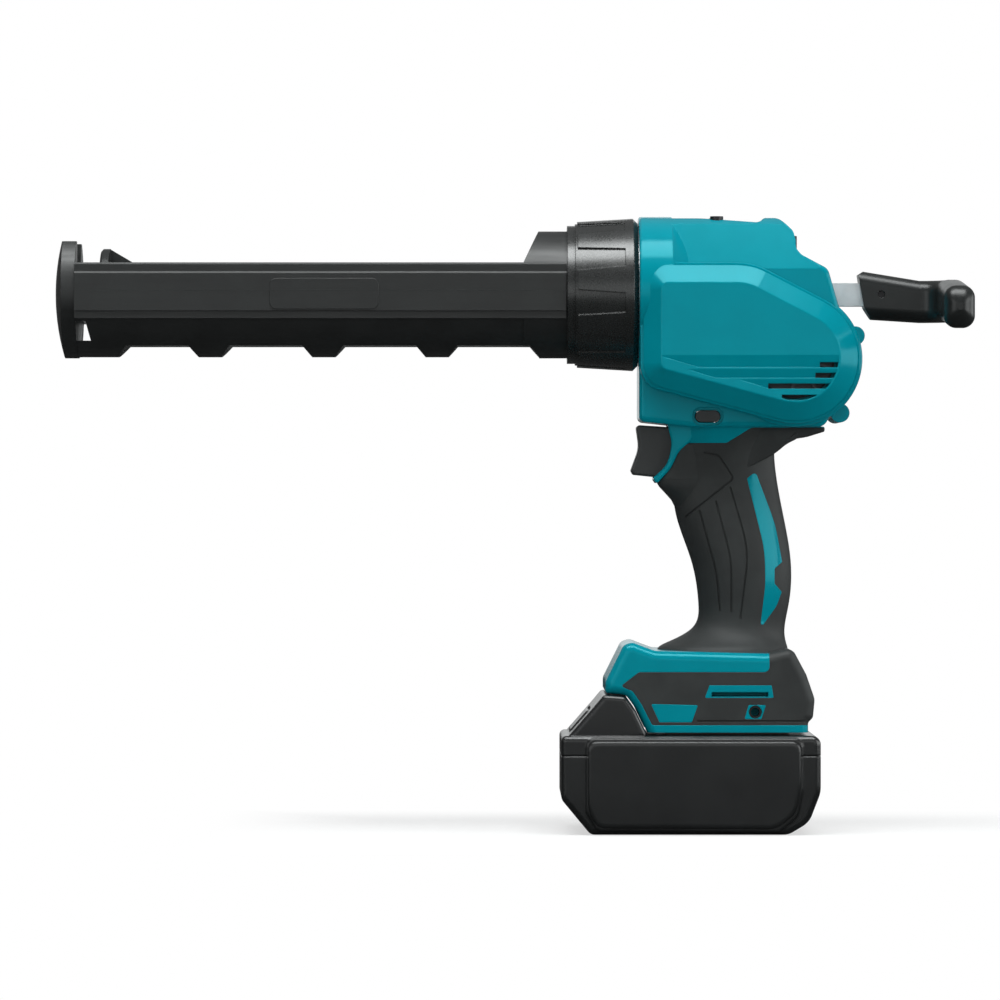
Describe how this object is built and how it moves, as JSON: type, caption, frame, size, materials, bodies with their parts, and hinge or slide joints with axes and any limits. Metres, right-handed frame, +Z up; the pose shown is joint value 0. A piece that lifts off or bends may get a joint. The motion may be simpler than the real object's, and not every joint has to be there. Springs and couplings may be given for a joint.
{
  "type": "cordless caulking tool",
  "caption": "Cordless caulking tool: an open cartridge holder on a screwed lock ring, a rack-driven push rod with a hooked grip, a trigger handle and a slide-on battery.",
  "frame": {"origin": "on the flat underside of the battery, in the middle plane of the tool", "axes": "+X to the rear along the barrel, +Y to the tool's right as held, away from the viewer of the picture, +Z up"},
  "size_m": [0.4146, 0.0969, 0.2801],
  "materials": {
    "teal_plastic": "fine moulded grain",
    "black_plastic": "satin",
    "control_plastic": "satin",
    "battery_plastic": "satin gloss",
    "soft_rubber": "matte, fine grain",
    "rod_steel": "drawn, brushed along its length",
    "plain_steel": "machined",
    "screw_steel": "blackened",
    "sleeve_aluminium": "die cast",
    "bearing_bronze": "sintered",
    "contact_brass": "bright",
    "pale_nylon": "moulded",
    "grey_plastic": "moulded",
    "magnet": "sintered",
    "board": "lacquered",
    "cell_wrap": "shrink wrap"
  },
  "bodies": {
    "housing": {"housing_left": "teal_plastic", "housing_right": "teal_plastic", "grip_left": "soft_rubber", "grip_right": "soft_rubber", "gear_pins": "plain_steel", "dial_pin": "plain_steel", "motor_can": "plain_steel", "housing_screws": "screw_steel", "nose_screws": "screw_steel", "hook_inserts": "screw_steel", "nose_sleeve": "sleeve_aluminium", "near_shaft_bush": "bearing_bronze", "far_shaft_bush": "bearing_bronze", "terminal_blades": "contact_brass", "front_rod_bush": "pale_nylon", "rear_rod_bush": "pale_nylon", "rod_wear_plate": "pale_nylon", "motor_end_cap": "grey_plastic", "trigger_switch": "grey_plastic", "terminal_block": "grey_plastic", "motor_magnets": "magnet", "motor_brushes": "magnet", "control_board": "board", "dial_board": "board"},
    "rod": {"push_rod": "rod_steel", "piston": "black_plastic", "piston_screw": "screw_steel", "rod_grip": "black_plastic", "grip_pin": "screw_steel"},
    "output": {"output_shaft": "plain_steel", "clutch_plate": "plain_steel", "clutch_washer": "plain_steel"},
    "rotor": {"motor_armature": "plain_steel", "motor_commutator": "contact_brass", "motor_shaft": "plain_steel", "motor_pinion": "plain_steel", "motor_fan": "grey_plastic"},
    "first_gear": {"first_gear": "plain_steel"},
    "second_gear": {"second_gear": "plain_steel"},
    "final_gear": {"final_gear": "plain_steel"},
    "clamp": {"thrust_washer": "plain_steel"},
    "lock_ring": {"lock_ring": "black_plastic"},
    "holder": {"cartridge_holder": "black_plastic"},
    "trigger": {"trigger": "control_plastic"},
    "lock_off_button": {"lock_off_button": "control_plastic"},
    "speed_dial": {"speed_dial": "control_plastic"},
    "battery": {"battery_lower": "battery_plastic", "battery_upper": "battery_plastic", "battery_cells": "cell_wrap", "battery_board": "board", "battery_contacts": "contact_brass"},
    "battery_button": {"battery_button": "battery_plastic"}
  },
  "joints": [
    {"name": "rod_slide", "type": "slide", "parent": "housing", "child": "rod", "axis": [1, 0, 0], "range_m": [-0.008, 0.206]},
    {"name": "output_turn", "type": "hinge", "parent": "housing", "child": "output", "pos_m": [0.014, 0, 0.23405], "axis": [0, 1, 0], "range_deg": [-80, 1900]},
    {"name": "motor_turn", "type": "hinge", "parent": "housing", "child": "rotor", "pos_m": [0.0462, 0, 0.2148], "axis": [0, 1, 0], "continuous": true},
    {"name": "first_gear_turn", "type": "hinge", "parent": "housing", "child": "first_gear", "pos_m": [0.02588, 0, 0.21658], "axis": [0, 1, 0], "continuous": true},
    {"name": "second_gear_turn", "type": "hinge", "parent": "housing", "child": "second_gear", "pos_m": [0.00808, 0, 0.2139], "axis": [0, 1, 0], "continuous": true},
    {"name": "final_gear_turn", "type": "hinge", "parent": "housing", "child": "final_gear", "pos_m": [0.014, 0, 0.23405], "axis": [0, 1, 0], "continuous": true},
    {"name": "clamp_slide", "type": "slide", "parent": "housing", "child": "clamp", "axis": [-1, 0, 0], "range_m": [0, 0.006]},
    {"name": "lock_ring_turn", "type": "hinge", "parent": "clamp", "child": "lock_ring", "pos_m": [-0.04, 0, 0.2445], "axis": [-1, 0, 0], "range_deg": [-5, 725]},
    {"name": "holder_turn", "type": "hinge", "parent": "clamp", "child": "holder", "pos_m": [-0.051, 0, 0.2445], "axis": [1, 0, 0], "continuous": true},
    {"name": "trigger_pull", "type": "slide", "parent": "housing", "child": "trigger", "axis": [1, 0, 0], "range_m": [0, 0.006], "stiffness_N_per_m": 700, "springref_m": -0.003},
    {"name": "lock_off_slide", "type": "slide", "parent": "housing", "child": "lock_off_button", "axis": [0, 1, 0], "range_m": [-0.0025, 0.0025]},
    {"name": "dial_turn", "type": "hinge", "parent": "housing", "child": "speed_dial", "pos_m": [0.0394, 0, 0.2681], "axis": [0, 0, 1], "range_deg": [-135, 135]},
    {"name": "battery_slide", "type": "slide", "parent": "housing", "child": "battery", "axis": [-1, 0, 0], "range_m": [0, 0.1]},
    {"name": "battery_release", "type": "slide", "parent": "battery", "child": "battery_button", "axis": [0, 0, -1], "range_m": [0, 0.0035], "stiffness_N_per_m": 500, "springref_m": -0.003}
  ],
  "couplings": [
    {"joint": "output_turn", "follows": "rod_slide", "rad_per_m": 160},
    {"joint": "first_gear_turn", "follows": "motor_turn", "ratio": -0.21429},
    {"joint": "second_gear_turn", "follows": "motor_turn", "ratio": 0.071429},
    {"joint": "final_gear_turn", "follows": "motor_turn", "ratio": -0.022321},
    {"joint": "lock_ring_turn", "follows": "clamp_slide", "rad_per_m": 2094.4}
  ]
}
